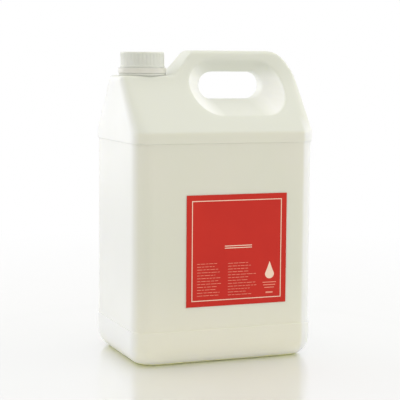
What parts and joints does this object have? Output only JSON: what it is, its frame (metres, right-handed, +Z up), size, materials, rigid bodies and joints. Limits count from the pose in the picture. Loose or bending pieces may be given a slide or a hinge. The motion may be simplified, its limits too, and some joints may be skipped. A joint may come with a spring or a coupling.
{
  "type": "hand soap refill jerrycan",
  "caption": "Upright rectangular blow-moulded can with a hand hole through its gable top, an offset neck with screw cap and tamper ring, a square front label and liquid inside.",
  "frame": {"origin": "centre of the overall box at the standing base", "axes": "+X to the right along the wide front, +Y to the back, +Z up along the height"},
  "size_m": [0.182, 0.1316, 0.2925],
  "materials": {
    "natural_plastic": "natural translucent polyethylene, satin, slightly waxy",
    "cap_plastic": "natural moulded plastic, satin",
    "liner_foam": "white foamed sealing wad",
    "liquid_soap": "pale straw-coloured liquid, slightly cloudy",
    "label_face": "semi-gloss printed film, red with a cream frame line"
  },
  "bodies": {
    "can": {"can_body": "natural_plastic", "tamper_ring": "cap_plastic", "front_label": "label_face", "liquid_soap": "liquid_soap"},
    "cap_carrier": {"cap_liner": "liner_foam"},
    "cap": {"screw_cap": "cap_plastic"}
  },
  "joints": [
    {"name": "cap_lift", "type": "slide", "parent": "can", "child": "cap_carrier", "axis": [0, 0, 1], "range_m": [0, 0.0127]},
    {"name": "cap_turn", "type": "hinge", "parent": "cap_carrier", "child": "cap", "pos_m": [-0.0627, 0, 0.2833], "axis": [0, 0, 1], "range_deg": [0, 900]}
  ],
  "couplings": [
    {"joint": "cap_lift", "follows": "cap_turn", "m_per_rad": 0.00079577}
  ]
}
